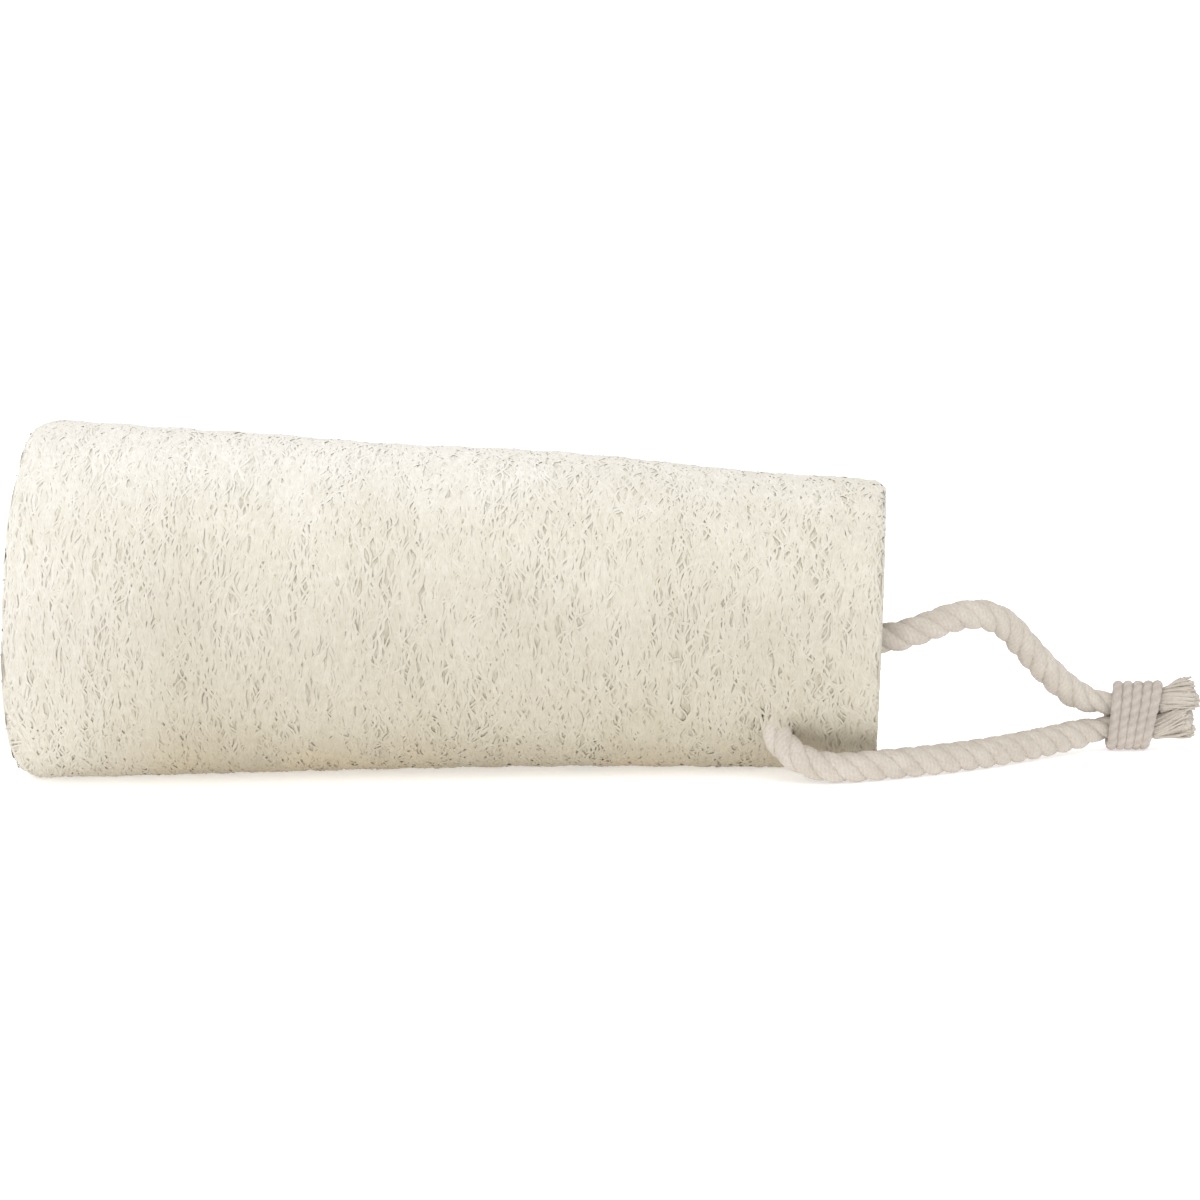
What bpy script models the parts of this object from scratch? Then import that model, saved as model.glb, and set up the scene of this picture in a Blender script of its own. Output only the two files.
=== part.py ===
"""A natural loofah sponge lying on its side, with a loop of twisted cotton rope at its small end.

Metres, +Z up. +X runs along the sponge towards the rope, and -Y is the side that faces the viewer.
The origin is on the ground under the middle of the sponge's own box.
"""

import math

import bmesh
import bpy
from mathutils import Matrix, Vector

MM = 0.001

# Loofah body: a gourd's dried fibre, cut off at both ends, a little thicker at one end
LARGE_END_X = -74.3 * MM
SMALL_END_X = 74.7 * MM
LARGE_END_RADIUS = 30.95 * MM
SMALL_END_RADIUS = 24.9 * MM
LARGE_END_LEAN = math.radians(3.2)
SMALL_END_LEAN = math.radians(3.0)
RIM_ROUNDING = 2.2 * MM
RIM_STEPS = 3

# The belly is slightly arched: it rests near both ends on flats that its own weight presses in
PRESSED_FLAT = 0.7 * MM
ARCH_HEIGHT = 1.4 * MM
ARCH_NARROWING = 0.5 * MM
ARCH_MIDDLE_X = 10.0 * MM
ARCH_SPAN = 170.0 * MM

# The back of the gourd rises and falls once or twice towards its small end
BACK_WAVE_HEIGHT = 0.45 * MM
BACK_WAVE_LENGTH = 70.7 * MM
BACK_WAVE_CREST_X = 18.7 * MM
BACK_WAVE_START_X = -45.0 * MM
BACK_WAVE_FULL_X = -5.0 * MM

# Raised net of fibre on the outside: two families of slanting hoops that cross each other
NET_PITCH = 9.6 * MM
NET_STARTS = 8
NET_HEIGHT = 0.9 * MM
NET_MEAN_SHARE = 0.4
STEPS_ALONG = 58
STEPS_AROUND = 80

# Three seed channels run from end to end round the core; the front one carries the rope
CHANNEL_ANGLES = (math.radians(-6.0), math.radians(113.0), math.radians(234.0))
CHANNEL_SIZES = (1.0, 0.94, 0.97)
CHANNEL_RADIUS_LARGE_END = 8.3 * MM
CHANNEL_RADIUS_SMALL_END = 6.9 * MM
CHANNEL_OFFSET_LARGE_END = 14.2 * MM
CHANNEL_OFFSET_SMALL_END = 11.3 * MM
CHANNEL_SIDES = 16
CUT_OVERRUN = 8.0 * MM

# Rope: one length of twisted cotton, from tail to tail
ROPE_DIAMETER = 5.1 * MM
ROPE_POINT_SPACING = 4.6 * MM
ROPE_SQUEEZE = 0.785
ROPE_SQUEEZED_BESIDE_BINDING = 1.6 * MM
ROPE_RELAXING_LENGTH = 4.2 * MM
ROPE_TAIL_FULLNESS = 0.95
HOLE_CLEARANCE = 0.45 * MM

# Binding: cotton twine wound round both rope ends, one above the other
BINDING_CENTRE = Vector((118.9, 8.0, 6.2)) * MM
BINDING_LENGTH = 8.4 * MM
BINDING_TURNS = 5
BINDING_FAN = 0.11
BINDING_LEAN = 0.6 * MM
TWINE_DIAMETER = 1.7 * MM
TWINE_FLATTENING = 0.45 * MM
ROPE_ENDS_APART = 4.35 * MM
BINDING_CLEARANCE = 0.3 * MM
BINDING_STEPS_AROUND = 24

# The rope's middle line in millimetres, from the upper tail through the binding, into the mouth of
# the front channel, out of the side hole, along the ground and back through the binding
UPPER_TAIL = (
    (129.4, 8.5, 10.15),
    (126.5, 8.2, 9.3),
    (123.1, 8.0, 8.375),
    (118.9, 8.0, 8.375),
    (114.7, 8.0, 8.375),
)
UPPER_STRAND = (
    (109.3, 7.1, 9.95),
    (104.3, 5.0, 14.4),
    (99.6, 2.3, 20.05),
    (96.7, 0.2, 23.6),
    (92.7, -2.6, 25.9),
    (87.8, -5.4, 26.0),
    (82.6, -8.4, 24.7),
    (77.6, -10.4, 23.5),
)
TURN_INSIDE = (
    (71.4, -11.2, 23.1),
    (65.8, -11.5, 22.9),
    (60.9, -12.5, 21.2),
    (57.7, -14.3, 18.1),
    (56.1, -16.4, 14.7),
)
LOWER_STRAND = (
    (55.9, -18.6, 11.3),
    (57.0, -20.6, 8.1),
    (59.4, -21.8, 5.25),
    (63.4, -22.4, 3.35),
    (67.8, -21.9, 2.75),
    (73.0, -20.1, 2.7),
    (78.2, -17.8, 2.7),
    (84.0, -14.6, 2.7),
    (91.0, -10.0, 2.7),
    (98.0, -4.3, 2.8),
    (104.5, 1.6, 3.0),
    (110.0, 6.0, 3.45),
)
LOWER_TAIL = (
    (114.7, 8.0, 4.025),
    (118.9, 8.0, 4.025),
    (123.1, 8.0, 4.025),
    (126.3, 7.7, 4.5),
    (128.8, 7.3, 5.0),
)
ROPE_ROUTE = [Vector(p) * MM for p in UPPER_TAIL + UPPER_STRAND + TURN_INSIDE + LOWER_STRAND + LOWER_TAIL]
HOLE_ROUTE = [Vector(p) * MM for p in TURN_INSIDE[1:] + LOWER_STRAND[:4]]


def clear_scene():
    for item in list(bpy.data.objects):
        bpy.data.objects.remove(item, do_unlink=True)


def new_collection(name):
    made = bpy.data.collections.new(name)
    bpy.context.scene.collection.children.link(made)
    return made


def plain_material(name, colour, roughness):
    material = bpy.data.materials.new(name)
    material.use_nodes = True
    shader = material.node_tree.nodes["Principled BSDF"]
    shader.inputs["Base Color"].default_value = (*colour, 1.0)
    shader.inputs["Roughness"].default_value = roughness
    shader.inputs["Metallic"].default_value = 0.0
    return material


def mix(start, end, share):
    return start + (end - start) * share


def smooth_step(value):
    value = min(1.0, max(0.0, value))
    return value * value * (3.0 - 2.0 * value)


# Form of the loofah body

def share_along(x):
    """0 at the large end and 1 at the small end."""
    return (x - LARGE_END_X) / (SMALL_END_X - LARGE_END_X)


def arch_share(x):
    return math.cos(math.pi * (x - ARCH_MIDDLE_X) / ARCH_SPAN) ** 2


def body_radius(x):
    taper = mix(LARGE_END_RADIUS, SMALL_END_RADIUS, share_along(x))
    return taper - ARCH_NARROWING * arch_share(x)


def axis_height(x):
    return body_radius(x) - PRESSED_FLAT + ARCH_HEIGHT * arch_share(x)


def growth_swell(x, angle):
    """The gourd isn't quite round: broad low swellings that drift along it, and waves on its back."""
    along = x / SMALL_END_X
    two_sided = 0.30 * MM * math.sin(2.0 * angle + 0.9 * along - 0.4)
    three_sided = 0.22 * MM * math.sin(3.0 * angle - 1.6 * along + 1.1)
    faded_in = smooth_step((x - BACK_WAVE_START_X) / (BACK_WAVE_FULL_X - BACK_WAVE_START_X))
    back_share = (0.5 + 0.5 * math.sin(angle)) ** 2 * faded_in
    wave = math.cos(2.0 * math.pi * (x - BACK_WAVE_CREST_X) / BACK_WAVE_LENGTH)
    return two_sided + three_sided + BACK_WAVE_HEIGHT * back_share * wave


def net_relief(x, angle):
    """Height of the raised net: each strand is a slanting hoop that wanders a little."""
    wander = 0.8 * math.sin(3.0 * angle + x / (19.0 * MM)) + 0.6 * math.sin(2.0 * angle - x / (31.0 * MM))
    along = 2.0 * math.pi * x / NET_PITCH
    leaning_left = 0.5 + 0.5 * math.cos(along + NET_STARTS * angle + wander)
    leaning_right = 0.5 + 0.5 * math.cos(along - NET_STARTS * angle + 1.7 - 0.7 * wander)
    return NET_HEIGHT * (max(leaning_left, leaning_right) ** 2 - NET_MEAN_SHARE)


def side_profile():
    """Radius and place along the axis, from the small end's middle to the large end's middle."""
    points = [(0.0, SMALL_END_X)]
    quarter = [0.5 * math.pi * step / RIM_STEPS for step in range(RIM_STEPS + 1)]
    rim = body_radius(SMALL_END_X) - RIM_ROUNDING
    for turn in quarter:
        points.append((rim + RIM_ROUNDING * math.sin(turn), SMALL_END_X - RIM_ROUNDING * (1 - math.cos(turn))))
    first = SMALL_END_X - RIM_ROUNDING
    last = LARGE_END_X + RIM_ROUNDING
    for step in range(1, STEPS_ALONG):
        x = mix(first, last, step / STEPS_ALONG)
        points.append((body_radius(x), x))
    rim = body_radius(LARGE_END_X) - RIM_ROUNDING
    for turn in reversed(quarter):
        points.append((rim + RIM_ROUNDING * math.sin(turn), LARGE_END_X + RIM_ROUNDING * (1 - math.cos(turn))))
    points.append((0.0, LARGE_END_X))
    return points


def turned_mesh(name, profile, steps, closed=False):
    """A mesh turned about Z from (radius, height) points, made by a Screw modifier."""
    mesh = bpy.data.meshes.new(name)
    edges = [(i, i + 1) for i in range(len(profile) - 1)]
    if closed:
        edges.append((len(profile) - 1, 0))
    mesh.from_pydata([(radius, 0.0, height) for radius, height in profile], edges, [])
    blank = bpy.data.objects.new(name, mesh)
    bpy.context.scene.collection.objects.link(blank)
    screw = blank.modifiers.new("Turn", 'SCREW')
    screw.axis = 'Z'
    screw.angle = 2.0 * math.pi
    screw.steps = steps
    screw.render_steps = steps
    screw.use_merge_vertices = True
    screw.merge_threshold = 0.00001
    turned = mesh_of(blank, name)
    bpy.data.objects.remove(blank, do_unlink=True)
    return turned


def mesh_of(source, name):
    """The evaluated mesh of an object, with loose seams and caps welded."""
    bpy.context.view_layer.update()
    evaluated = source.evaluated_get(bpy.context.evaluated_depsgraph_get())
    mesh = bpy.data.meshes.new_from_object(evaluated)
    mesh.name = name
    shape = bmesh.new()
    shape.from_mesh(mesh)
    bmesh.ops.remove_doubles(shape, verts=shape.verts, dist=0.000005)
    bmesh.ops.recalc_face_normals(shape, faces=shape.faces)
    shape.to_mesh(mesh)
    shape.free()
    return mesh


def grow_body(mesh):
    """Lays the turned blank along X, gives it swell, net, leaning cut ends and pressed flats."""
    for vertex in mesh.vertices:
        x = vertex.co.z
        radius = math.hypot(vertex.co.x, vertex.co.y)
        angle = math.atan2(vertex.co.y, -vertex.co.x)
        rim = body_radius(x) - RIM_ROUNDING
        side_share = smooth_step((radius - rim) / RIM_ROUNDING)
        radius += side_share * growth_swell(x, angle)
        radius += side_share * net_relief(x, angle)
        across = -radius * math.cos(angle)
        up = radius * math.sin(angle)
        lean = mix(math.tan(LARGE_END_LEAN), math.tan(SMALL_END_LEAN), share_along(x))
        vertex.co = (x + lean * up, across, max(0.0, axis_height(x) + up))


def centre_over_origin(mesh):
    """Moves the body so that its box stands over the origin."""
    for axis in (0, 1):
        places = [vertex.co[axis] for vertex in mesh.vertices]
        middle = 0.5 * (min(places) + max(places))
        for vertex in mesh.vertices:
            vertex.co[axis] -= middle


# Cutters

def channel_centre(index, x):
    angle = CHANNEL_ANGLES[index]
    offset = mix(CHANNEL_OFFSET_LARGE_END, CHANNEL_OFFSET_SMALL_END, share_along(x))
    return Vector((x, -offset * math.cos(angle), axis_height(x) + offset * math.sin(angle)))


def channel_radius(index, x):
    return CHANNEL_SIZES[index] * mix(CHANNEL_RADIUS_LARGE_END, CHANNEL_RADIUS_SMALL_END, share_along(x))


def channel_cutter(index, collection):
    start = channel_centre(index, LARGE_END_X)
    end = channel_centre(index, SMALL_END_X)
    direction = (end - start).normalized()
    start = start - direction * CUT_OVERRUN
    end = end + direction * CUT_OVERRUN
    mesh = bpy.data.meshes.new("channel_cutter_%d" % index)
    shape = bmesh.new()
    bmesh.ops.create_cone(
        shape,
        cap_ends=True,
        segments=CHANNEL_SIDES,
        radius1=channel_radius(index, LARGE_END_X),
        radius2=channel_radius(index, SMALL_END_X),
        depth=(end - start).length,
    )
    turn = direction.to_track_quat('Z', 'Y').to_matrix().to_4x4()
    bmesh.ops.transform(shape, matrix=Matrix.Translation(0.5 * (start + end)) @ turn, verts=shape.verts)
    shape.to_mesh(mesh)
    shape.free()
    return add_cutter(mesh, collection)


def hole_cutter(collection):
    tube = tube_curve("hole_cutter", HOLE_ROUTE, 0.5 * ROPE_DIAMETER + HOLE_CLEARANCE)
    bpy.context.scene.collection.objects.link(tube)
    mesh = mesh_of(tube, "hole_cutter")
    bpy.data.objects.remove(tube, do_unlink=True)
    return add_cutter(mesh, collection)


def add_cutter(mesh, collection):
    cutter = bpy.data.objects.new(mesh.name, mesh)
    cutter.hide_render = True
    cutter.display_type = 'WIRE'
    collection.objects.link(cutter)
    return cutter


# Rope

def curve_point(before, start, end, after, share):
    """A point on the smooth curve between start and end, which also heeds the points beside them."""
    squared = share * share
    cubed = squared * share
    return 0.5 * (
        2.0 * start
        + (end - before) * share
        + (2.0 * before - 5.0 * start + 4.0 * end - after) * squared
        + (3.0 * start - before - 3.0 * end + after) * cubed
    )


def smooth_route(points, spacing):
    """Evenly spaced points on a smooth curve through the given ones."""
    ends = [2.0 * points[0] - points[1]] + list(points) + [2.0 * points[-1] - points[-2]]
    fine = []
    for i in range(1, len(ends) - 2):
        for step in range(20):
            fine.append(curve_point(ends[i - 1], ends[i], ends[i + 1], ends[i + 2], step / 20.0))
    fine.append(points[-1].copy())
    travelled = [0.0]
    for i in range(1, len(fine)):
        travelled.append(travelled[-1] + (fine[i] - fine[i - 1]).length)
    count = max(2, round(travelled[-1] / spacing) + 1)
    route = []
    i = 0
    for step in range(count):
        wanted = travelled[-1] * step / (count - 1)
        while i < len(fine) - 2 and travelled[i + 1] < wanted:
            i += 1
        stretch = travelled[i + 1] - travelled[i]
        route.append(fine[i].lerp(fine[i + 1], (wanted - travelled[i]) / stretch))
    return route


def rope_fullness(point):
    """The rope's thickness there: squeezed in the binding, and slimmer past it."""
    from_binding = abs(point.x - BINDING_CENTRE.x) - 0.5 * BINDING_LENGTH - ROPE_SQUEEZED_BESIDE_BINDING
    relaxed = smooth_step(from_binding / ROPE_RELAXING_LENGTH)
    full = ROPE_TAIL_FULLNESS if point.x > BINDING_CENTRE.x else 1.0
    return mix(ROPE_SQUEEZE, full, relaxed)


def tube_curve(name, route, radius, fullness=None):
    curve = bpy.data.curves.new(name, 'CURVE')
    curve.dimensions = '3D'
    curve.bevel_depth = radius
    curve.bevel_resolution = 3
    curve.use_fill_caps = True
    points = smooth_route(route, ROPE_POINT_SPACING)
    spline = curve.splines.new('POLY')
    spline.points.add(len(points) - 1)
    for target, place in zip(spline.points, points):
        target.co = (*place, 1.0)
        target.radius = fullness(place) if fullness else 1.0
    spline.use_smooth = True
    return bpy.data.objects.new(name, curve)


def build_rope(collection, material):
    rope = tube_curve("rope", ROPE_ROUTE, 0.5 * ROPE_DIAMETER, rope_fullness)
    rope.data.materials.append(material)
    collection.objects.link(rope)
    return rope


# Binding

def binding_profile():
    """Section of the wound twine: a flat inside and one round ridge for each turn."""
    inner = 0.5 * ROPE_DIAMETER * ROPE_SQUEEZE + BINDING_CLEARANCE
    half = 0.5 * BINDING_LENGTH
    pitch = BINDING_LENGTH / BINDING_TURNS
    points = [(inner, -half + 0.2 * pitch), (inner, half - 0.2 * pitch)]
    for turn in range(BINDING_TURNS):
        middle = half - (turn + 0.5) * pitch
        for share in (0.5, 0.25, 0.0, -0.25):
            crown = TWINE_FLATTENING * math.cos(2.0 * math.pi * share)
            points.append((inner + TWINE_DIAMETER - TWINE_FLATTENING + crown, middle + share * pitch))
    points.append((inner + TWINE_DIAMETER - 2.0 * TWINE_FLATTENING, -half))
    return points


def build_binding(collection, material):
    """A turned ring, parted at its middle height so that both rope ends fit one above the other.

    Its turns fan out and lean over a little towards the top.
    """
    mesh = turned_mesh("binding", binding_profile(), BINDING_STEPS_AROUND, closed=True)
    half_step = math.pi / BINDING_STEPS_AROUND
    turn = Matrix.Rotation(0.5 * math.pi, 4, 'Y') @ Matrix.Rotation(half_step, 4, 'Z')
    mesh.transform(turn)
    half_height = 0.5 * (ROPE_ENDS_APART + ROPE_DIAMETER * ROPE_SQUEEZE) + BINDING_CLEARANCE + TWINE_DIAMETER
    for vertex in mesh.vertices:
        vertex.co.z += math.copysign(0.5 * ROPE_ENDS_APART, vertex.co.z)
        height_share = vertex.co.z / half_height
        vertex.co.x = vertex.co.x * (1.0 + BINDING_FAN * height_share) + BINDING_LEAN * height_share
    mesh.transform(Matrix.Translation(BINDING_CENTRE))
    return add_part("binding", mesh, collection, material)


def add_part(name, mesh, collection, material):
    part = bpy.data.objects.new(name, mesh)
    mesh.materials.clear()
    mesh.materials.append(material)
    mesh.shade_smooth()
    mesh.set_sharp_from_angle(angle=math.radians(50))
    collection.objects.link(part)
    return part


def build_loofah(collection, cutters, material):
    mesh = turned_mesh("loofah_body", side_profile(), STEPS_AROUND)
    grow_body(mesh)
    centre_over_origin(mesh)
    body = add_part("loofah_body", mesh, collection, material)
    tools = [channel_cutter(index, cutters) for index in range(len(CHANNEL_ANGLES))]
    tools.append(hole_cutter(cutters))
    for tool in tools:
        cut = body.modifiers.new("Cut " + tool.name, 'BOOLEAN')
        cut.operation = 'DIFFERENCE'
        cut.solver = 'EXACT'
        cut.object = tool
    return body


def main():
    clear_scene()
    parts = new_collection("natural_loofah_sponge")
    cutters = new_collection("cutters")
    build_loofah(parts, cutters, plain_material("loofah_fibre", (0.78, 0.71, 0.57), 0.9))
    build_rope(parts, plain_material("cotton_rope", (0.74, 0.68, 0.60), 0.85))
    build_binding(parts, plain_material("cotton_twine", (0.70, 0.62, 0.54), 0.85))


main()
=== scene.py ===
"""The looks of a natural loofah sponge and its twisted cotton rope loop.

Metres. +X runs along the sponge towards the rope, -Y is the viewer's side and +Z is up.
"""

import math
from collections import namedtuple

import bmesh
import bpy
import numpy as np
from mathutils import Matrix, Vector
from mathutils.bvhtree import BVHTree


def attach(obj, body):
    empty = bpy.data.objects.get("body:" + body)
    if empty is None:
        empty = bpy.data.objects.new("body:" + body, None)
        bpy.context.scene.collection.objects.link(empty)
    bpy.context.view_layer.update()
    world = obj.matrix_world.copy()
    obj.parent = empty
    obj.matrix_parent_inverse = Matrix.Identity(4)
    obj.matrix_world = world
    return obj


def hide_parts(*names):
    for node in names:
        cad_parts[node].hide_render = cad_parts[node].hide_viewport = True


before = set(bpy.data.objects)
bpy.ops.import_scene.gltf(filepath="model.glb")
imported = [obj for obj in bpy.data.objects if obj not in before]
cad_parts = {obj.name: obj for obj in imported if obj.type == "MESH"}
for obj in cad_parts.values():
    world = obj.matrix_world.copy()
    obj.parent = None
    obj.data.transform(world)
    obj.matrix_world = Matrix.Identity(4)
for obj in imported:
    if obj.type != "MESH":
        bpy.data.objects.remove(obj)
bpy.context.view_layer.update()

MM = 0.001
BODY = "root"
FULL_TURN = 2.0 * math.pi

# Camera: a long lens a little above the sponge, turned a few degrees and very slightly rolled
CAMERA_TARGET = Vector((25.9, 0.0, 29.0)) * MM
CAMERA_DISTANCE = 0.8
CAMERA_AZIMUTH = math.radians(3.3)
CAMERA_ELEVATION = math.radians(8.0)
CAMERA_ROLL = math.radians(-1.2)
FRAME_WIDTH = 0.20976
SENSOR_WIDTH = 36.0

# Light: a white surround, two broad lamps and a sheet of a floor that is lit from underneath as well
SKY_STRENGTH = 0.82
Lamp = namedtuple("Lamp", "name turn_x turn_y strength softness")
LAMPS = (
    Lamp("overhead", turn_x=24.0, turn_y=-12.0, strength=1.05, softness=80.0),
    Lamp("front", turn_x=62.0, turn_y=10.0, strength=0.27, softness=70.0),
)
FLOOR_SIZE = 80.0
FLOOR_GLOW = 0.42

# The loofah's colour by height above the ground, partly its own tint and partly painted shading: tan and
# darker underneath, where painted shade stands for the floor's shadow, and palest on its back, where
# painted light stands for the overhead lamp
LOOFAH_HEIGHT = 0.062
LOOFAH_COLOURS_AND_PAINTED_SHADING = (
    (0.02, (0.612, 0.546, 0.428)),
    (0.09, (0.572, 0.522, 0.424)),
    (0.20, (0.607, 0.568, 0.475)),
    (0.47, (0.652, 0.614, 0.533)),
    (0.72, (0.757, 0.726, 0.644)),
    (0.92, (0.875, 0.855, 0.812)),
)
LOOFAH_COLOUR_DRIFT = 0.022
LOOFAH_PATCHES = 60.0

# Painted light towards both cut ends, which makes them paler: where that starts, where it is fullest, and
# how much of it there is
LOOFAH_END_PAINTED_LIGHT = (0.855, 0.83, 0.775)
LOOFAH_END_PAINTED_LIGHT_BLENDS = ((-0.044, -0.073, 0.55), (0.066, 0.075, 0.15))

# Cotton, where it is light and where it is darker
ROPE_COLOURS = ((0.675, 0.628, 0.565), (0.59, 0.54, 0.475))
TWINE_COLOURS = ((0.58, 0.528, 0.483), (0.505, 0.453, 0.408))

# Loofah body, as the solid has it
LARGE_END_X = -74.3 * MM
SMALL_END_X = 74.7 * MM
LARGE_END_LEAN = math.tan(math.radians(3.2))
SMALL_END_LEAN = math.tan(math.radians(3.0))
LARGE_END_RADIUS = 30.95 * MM
SMALL_END_RADIUS = 24.9 * MM
LARGE_END_AXIS_HEIGHT = 30.25 * MM
SMALL_END_AXIS_HEIGHT = 24.32 * MM
ARCH_CENTRE_X = 10.0 * MM
ARCH_SPAN = 170.0 * MM
CHANNEL_ANGLES = (math.radians(-6.0), math.radians(113.0), math.radians(234.0))
CHANNEL_SIZES = (1.0, 0.94, 0.97)
CHANNEL_RADIUS_LARGE_END = 8.3 * MM
CHANNEL_RADIUS_SMALL_END = 6.9 * MM
CHANNEL_OFFSET_LARGE_END = 14.2 * MM
CHANNEL_OFFSET_SMALL_END = 11.3 * MM

# The map of the body's outside, and how far its relief is evened out
MAP_ALONG = 200
MAP_AROUND = 320
MAP_FROM_END = 0.2 * MM
RAY_START_RADIUS = 0.045
RADIUS_WITHOUT_HIT = 0.028
HOLE_DEPTH = 2.0 * MM
RELIEF_EVENED = 0.75
RELIEF_LIFT = 0.5 * MM
RELIEF_SPREAD = 4
RIM_ROWS = 4
RIM_KEPT = 1.5 * MM
RIM_BLEND = 3.0 * MM

# The felted base under the fibres
BASE_VOXEL = 0.95 * MM
BASE_MERGE = 0.000002
BASE_SKIN = 1.2 * MM
BASE_DEPTH_LOW = 0.19 * MM
BASE_DEPTH_ON_BACK = 0.11 * MM
BASE_DEPTH_INSIDE = 0.05 * MM
BACK_HEIGHT = 44.0 * MM
BACK_BLEND = 10.0 * MM

# Fibres: each is a low ridge, as high and as deep as these shares of its half width
FIBRE_CROWN = 0.40
FIBRE_PRESSED = 0.22

# The hooped layers, from the deepest to the top one; lengths in metres, slants in radians
HoopLayer = namedtuple("HoopLayer", "name seed count steps step tilt wave level weave half_width")
HOOP_LAYERS = (
    HoopLayer(
        "hoops_deep", seed=11, count=2000, steps=16, step=1.40 * MM, tilt=0.20, wave=0.26,
        level=-0.12 * MM, weave=0.05 * MM, half_width=0.40 * MM,
    ),
    HoopLayer(
        "hoops_wide", seed=12, count=2200, steps=15, step=1.25 * MM, tilt=0.45, wave=0.32,
        level=-0.05 * MM, weave=0.06 * MM, half_width=0.28 * MM,
    ),
    HoopLayer(
        "hoops_middle", seed=13, count=2600, steps=15, step=1.20 * MM, tilt=0.20, wave=0.38,
        level=0.00 * MM, weave=0.07 * MM, half_width=0.23 * MM,
    ),
    HoopLayer(
        "hoops_top", seed=14, count=2900, steps=14, step=1.10 * MM, tilt=0.26, wave=0.42,
        level=0.04 * MM, weave=0.08 * MM, half_width=0.19 * MM,
    ),
)
# Steps that spread the fibres' starts evenly over the surface
SPREAD_ALONG = 0.7548776662
SPREAD_AROUND = 0.5698402910
HOOP_TURN_RADIUS = 0.0275
HOOP_DRIFT_RADIUS = 0.028
HOOP_DRIFT = 0.16
HOOP_START_FROM_END = 0.4 * MM
HOOP_FROM_END = 0.3 * MM
HOOP_END_SUNK = 0.45 * MM
HOOP_END_WIDTH = 0.4

# Fibres inside the channels
CHANNEL_FIBRES = 90
CHANNEL_FIBRE_STEPS = 13
CHANNEL_FIBRE_RADIUS = 0.24 * MM
CHANNEL_FIBRE_REACH = 30.0 * MM
CHANNEL_FIBRE_FROM_MOUTH = 0.5 * MM

# Fibres of the cut faces: loops that lie on them, and cut stubs that stand out of them
FACE_LOOPS = 2100
FACE_LOOP_STEPS = 8
FACE_LOOP_STEP = 0.85 * MM
FACE_LOOP_HALF_WIDTH = 0.27 * MM
FACE_LOOP_RISE = 0.13 * MM
FACE_LOOP_SUNK_AT_RIM = 0.14 * MM
FACE_RIM_BLEND = 3.5 * MM
FACE_RIM_DEPTH = 2.4 * MM
FACE_RIM_MARGIN = 1.2 * MM
FACE_STUBS = 620
FACE_STUB_RADIUS = 0.2 * MM
STUB_FROM_CHANNEL = 0.5 * MM
CHANNEL_PULL = 2.2
CHANNEL_PULL_REACH = 2.2 * MM

# Rope, the same route as the solid's, in millimetres
ROPE_DIAMETER = 5.1 * MM
ROPE_LAY = 10.95 * MM
ROPE_SQUEEZE = 0.785
ROPE_SQUEEZED_BESIDE_BINDING = 1.6 * MM
ROPE_RELAXING_LENGTH = 4.2 * MM
ROPE_TAIL_FULLNESS = 0.95
ROPE_STEP = 0.50 * MM
STRANDS = 3
STRAND_OFFSET = 0.52
STRAND_DEPTH = 0.53
STRAND_WIDENING = 1.17
YARNS = 8
YARN_SLANT = 0.95
YARN_DEPTH = 0.13
YARN_BLUNTNESS = 0.7
STRAND_SIDES = 40
UPPER_STRAND = (
    (129.4, 8.5, 10.15),
    (126.5, 8.2, 9.3),
    (123.1, 8.0, 8.375),
    (118.9, 8.0, 8.375),
    (114.7, 8.0, 8.375),
    (109.3, 7.1, 9.95),
    (104.3, 5.0, 14.4),
    (99.6, 2.3, 20.05),
    (96.7, 0.2, 23.6),
    (92.7, -2.6, 25.9),
    (87.8, -5.4, 26.0),
    (82.6, -8.4, 24.7),
    (77.6, -10.4, 23.5),
    (71.4, -11.2, 23.1),
    (65.8, -11.5, 22.9),
)
LOWER_STRAND = (
    (60.9, -12.5, 21.2),
    (57.7, -14.3, 18.1),
    (56.1, -16.4, 14.7),
    (55.9, -18.6, 11.3),
    (57.0, -20.6, 8.1),
    (59.4, -21.8, 5.25),
    (63.4, -22.4, 3.35),
    (67.8, -21.9, 2.75),
    (73.0, -20.1, 2.7),
    (78.2, -17.8, 2.7),
    (84.0, -14.6, 2.7),
    (91.0, -10.0, 2.7),
    (98.0, -4.3, 2.8),
    (104.5, 1.6, 3.0),
    (110.0, 6.0, 3.45),
    (114.7, 8.0, 4.025),
    (118.9, 8.0, 4.025),
    (123.1, 8.0, 4.025),
    (126.3, 7.7, 4.5),
    (128.8, 7.3, 5.0),
)
CHANNEL_MOUTH = (74.7 * MM, -10.8 * MM, 23.3 * MM)
SIDE_HOLE = (56.3 * MM, -19.7 * MM, 9.6 * MM)

# Above these heights the fibres lie over the rope where it leaves the side hole
DRAPE_LOW = 8.6 * MM
DRAPE_HIGH = 10.2 * MM
DRAPE_LIFT_MOST = 2.6 * MM
DRAPE_CLEARANCE = 0.12 * MM
PARTING_CLEARANCE = 0.3 * MM
ROPE_NEAR_HOLE = 12.0 * MM
FIBRES_NEAR_HOLE = 16.0 * MM

# Binding twine
BINDING_CENTRE = Vector((118.9, 8.0, 6.2)) * MM
BINDING_LENGTH = 8.4 * MM
BINDING_TURNS = 5
BINDING_PITCH = 1.54 * MM
BINDING_MIDDLE_TURN = 3.1
BINDING_FAN = 0.11
BINDING_LEAN = 0.6 * MM
BINDING_STEP = 0.34 * MM
BINDING_OVER_ROPE = 0.3 * MM
BINDING_UNEVEN = 0.07 * MM
TWINE_DIAMETER = 1.7 * MM
TWINE_SIDES = 20
TWINE_PLY_PITCH = 3.4 * MM
TWINE_WIDENING = 1.16
TWINE_FULLNESS = 0.93
TWINE_TUCK_LENGTH = 4.0 * MM
TWINE_TUCK_DEPTH = 0.9 * MM
ROPE_ENDS_APART = 4.35 * MM

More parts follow.
